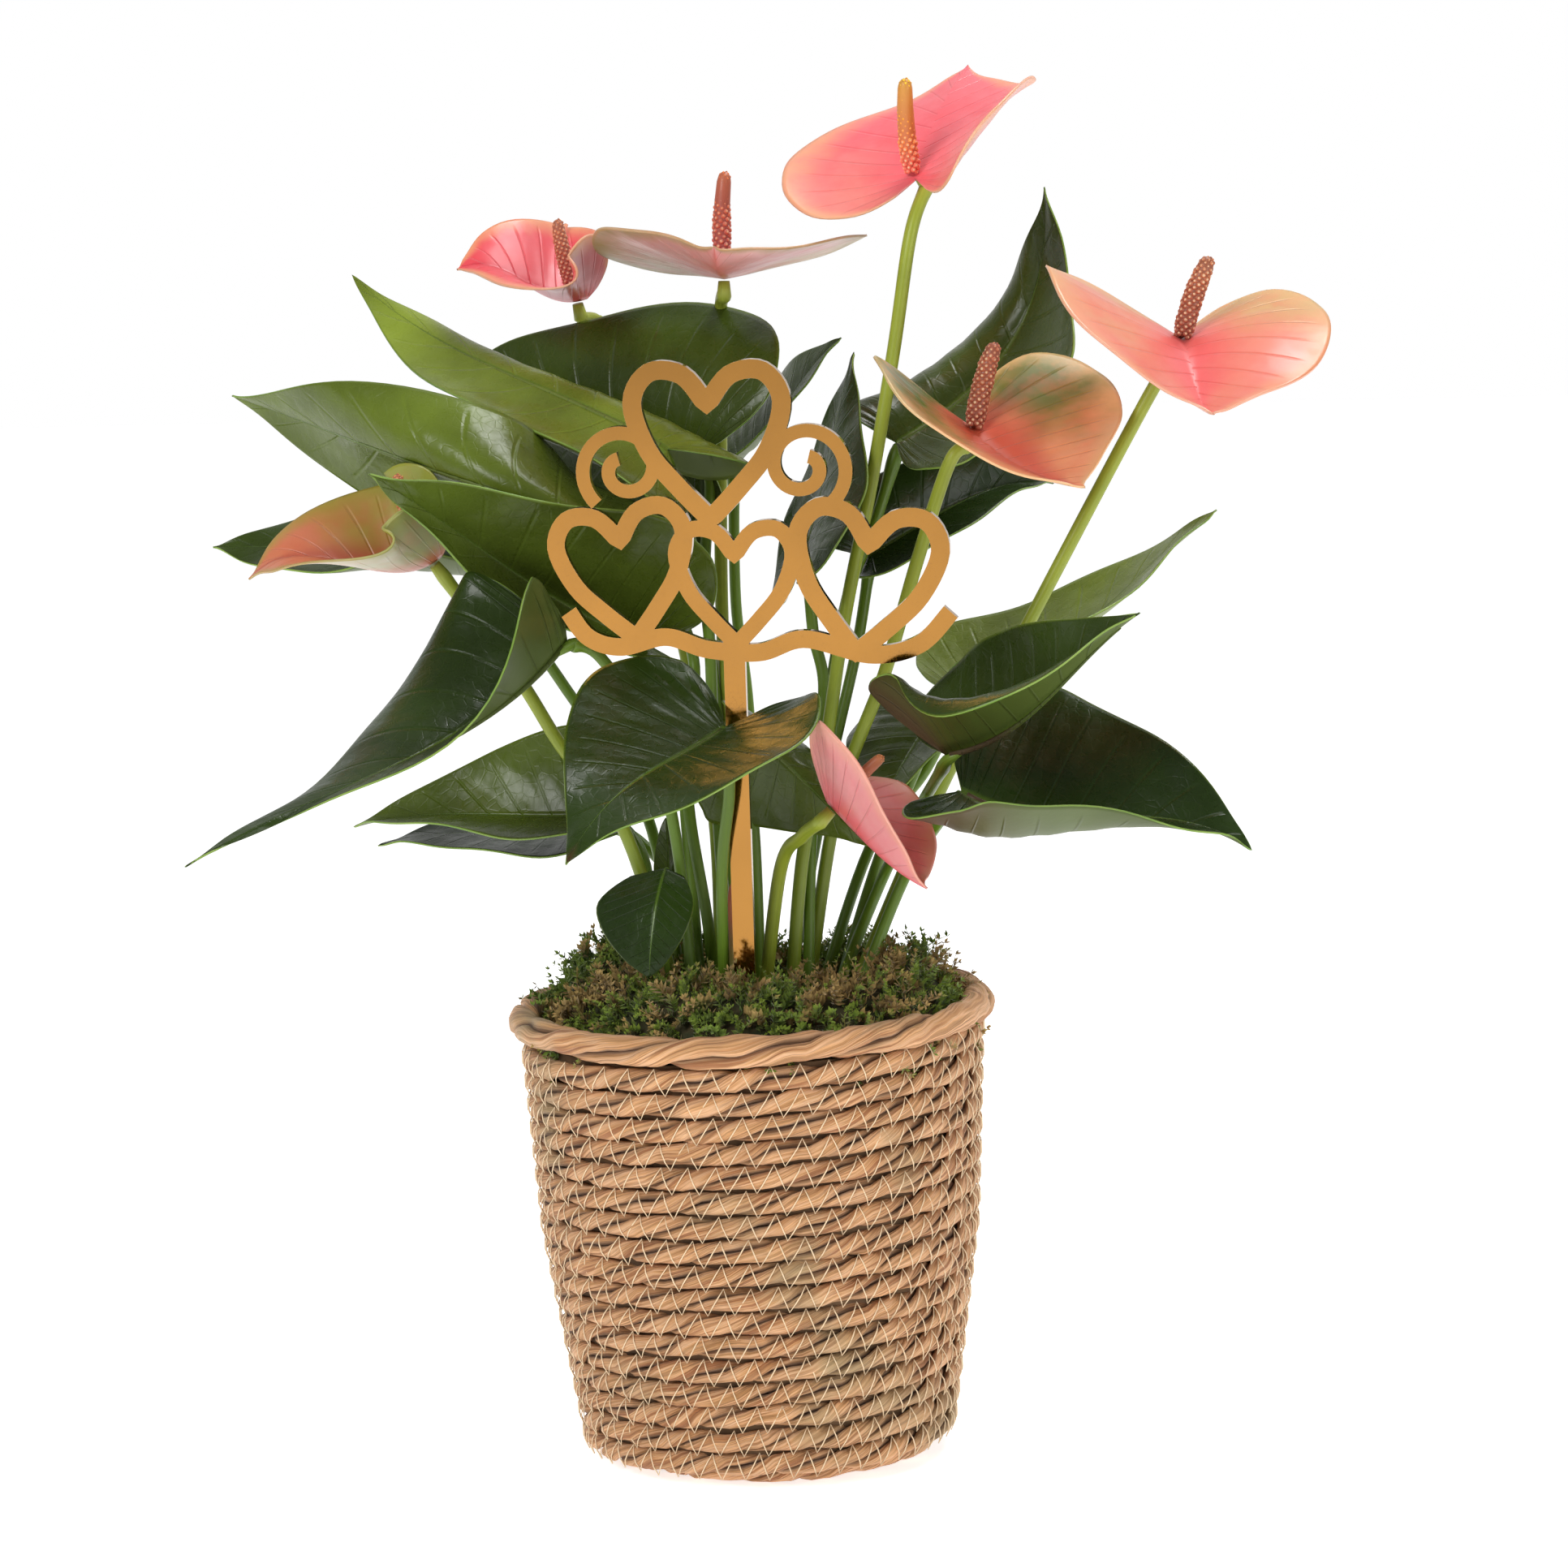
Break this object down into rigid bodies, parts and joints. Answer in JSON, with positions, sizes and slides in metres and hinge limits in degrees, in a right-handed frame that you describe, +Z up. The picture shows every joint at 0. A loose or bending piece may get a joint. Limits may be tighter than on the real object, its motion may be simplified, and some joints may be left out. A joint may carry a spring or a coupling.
{
  "type": "potted anthurium",
  "caption": "Flowering anthurium with glossy heart-shaped leaves and pink blooms, in a grow pot with moss, inside a stitched seagrass basket with a gold openwork pick.",
  "frame": {"origin": "middle of the basket's flat underside", "axes": "+Z up, -Y toward the side that the pick faces, +X to that viewer's right"},
  "size_m": [0.358, 0.2665, 0.4371],
  "materials": {
    "seagrass": "matte twisted fibre",
    "clear_film": "clear film",
    "pot_plastic": "satin",
    "peat": "rough, crumbly",
    "moss": "rough, feathery",
    "gold_mirror": "mirror",
    "stalk_green": "satin",
    "leaf_green": "glossy above, matte below",
    "spathe_pink": "waxy gloss",
    "spadix_orange": "fine beads"
  },
  "bodies": {
    "root": {"basket": "seagrass", "liner": "clear_film", "grow_pot": "pot_plastic", "soil": "peat", "moss": "moss", "pick": "gold_mirror", "shoot": "stalk_green", "leaf_01": "leaf_green", "leaf_02": "leaf_green", "leaf_03": "leaf_green", "leaf_04": "leaf_green", "leaf_05": "leaf_green", "leaf_06": "leaf_green", "leaf_07": "leaf_green", "leaf_08": "leaf_green", "leaf_09": "leaf_green", "leaf_10": "leaf_green", "leaf_11": "leaf_green", "leaf_12": "leaf_green", "leaf_13": "leaf_green", "leaf_14": "leaf_green", "leaf_15": "leaf_green", "leaf_16": "leaf_green", "leaf_17": "leaf_green", "leaf_18": "leaf_green", "leaf_19": "leaf_green", "leaf_20": "leaf_green", "bloom_1_stalk": "stalk_green", "bloom_1_spathe": "spathe_pink", "bloom_1_spadix": "spadix_orange", "bloom_2_stalk": "stalk_green", "bloom_2_spathe": "spathe_pink", "bloom_2_spadix": "spadix_orange", "bloom_3_stalk": "stalk_green", "bloom_3_spathe": "spathe_pink", "bloom_3_spadix": "spadix_orange", "bloom_4_stalk": "stalk_green", "bloom_4_spathe": "spathe_pink", "bloom_4_spadix": "spadix_orange", "bloom_5_stalk": "stalk_green", "bloom_5_spathe": "spathe_pink", "bloom_5_spadix": "spadix_orange", "bloom_6_stalk": "stalk_green", "bloom_6_spathe": "spathe_pink", "bloom_6_spadix": "spadix_orange", "bloom_7_stalk": "stalk_green", "bloom_7_spathe": "spathe_pink", "bloom_7_spadix": "spadix_orange"}
  },
  "joints": []
}
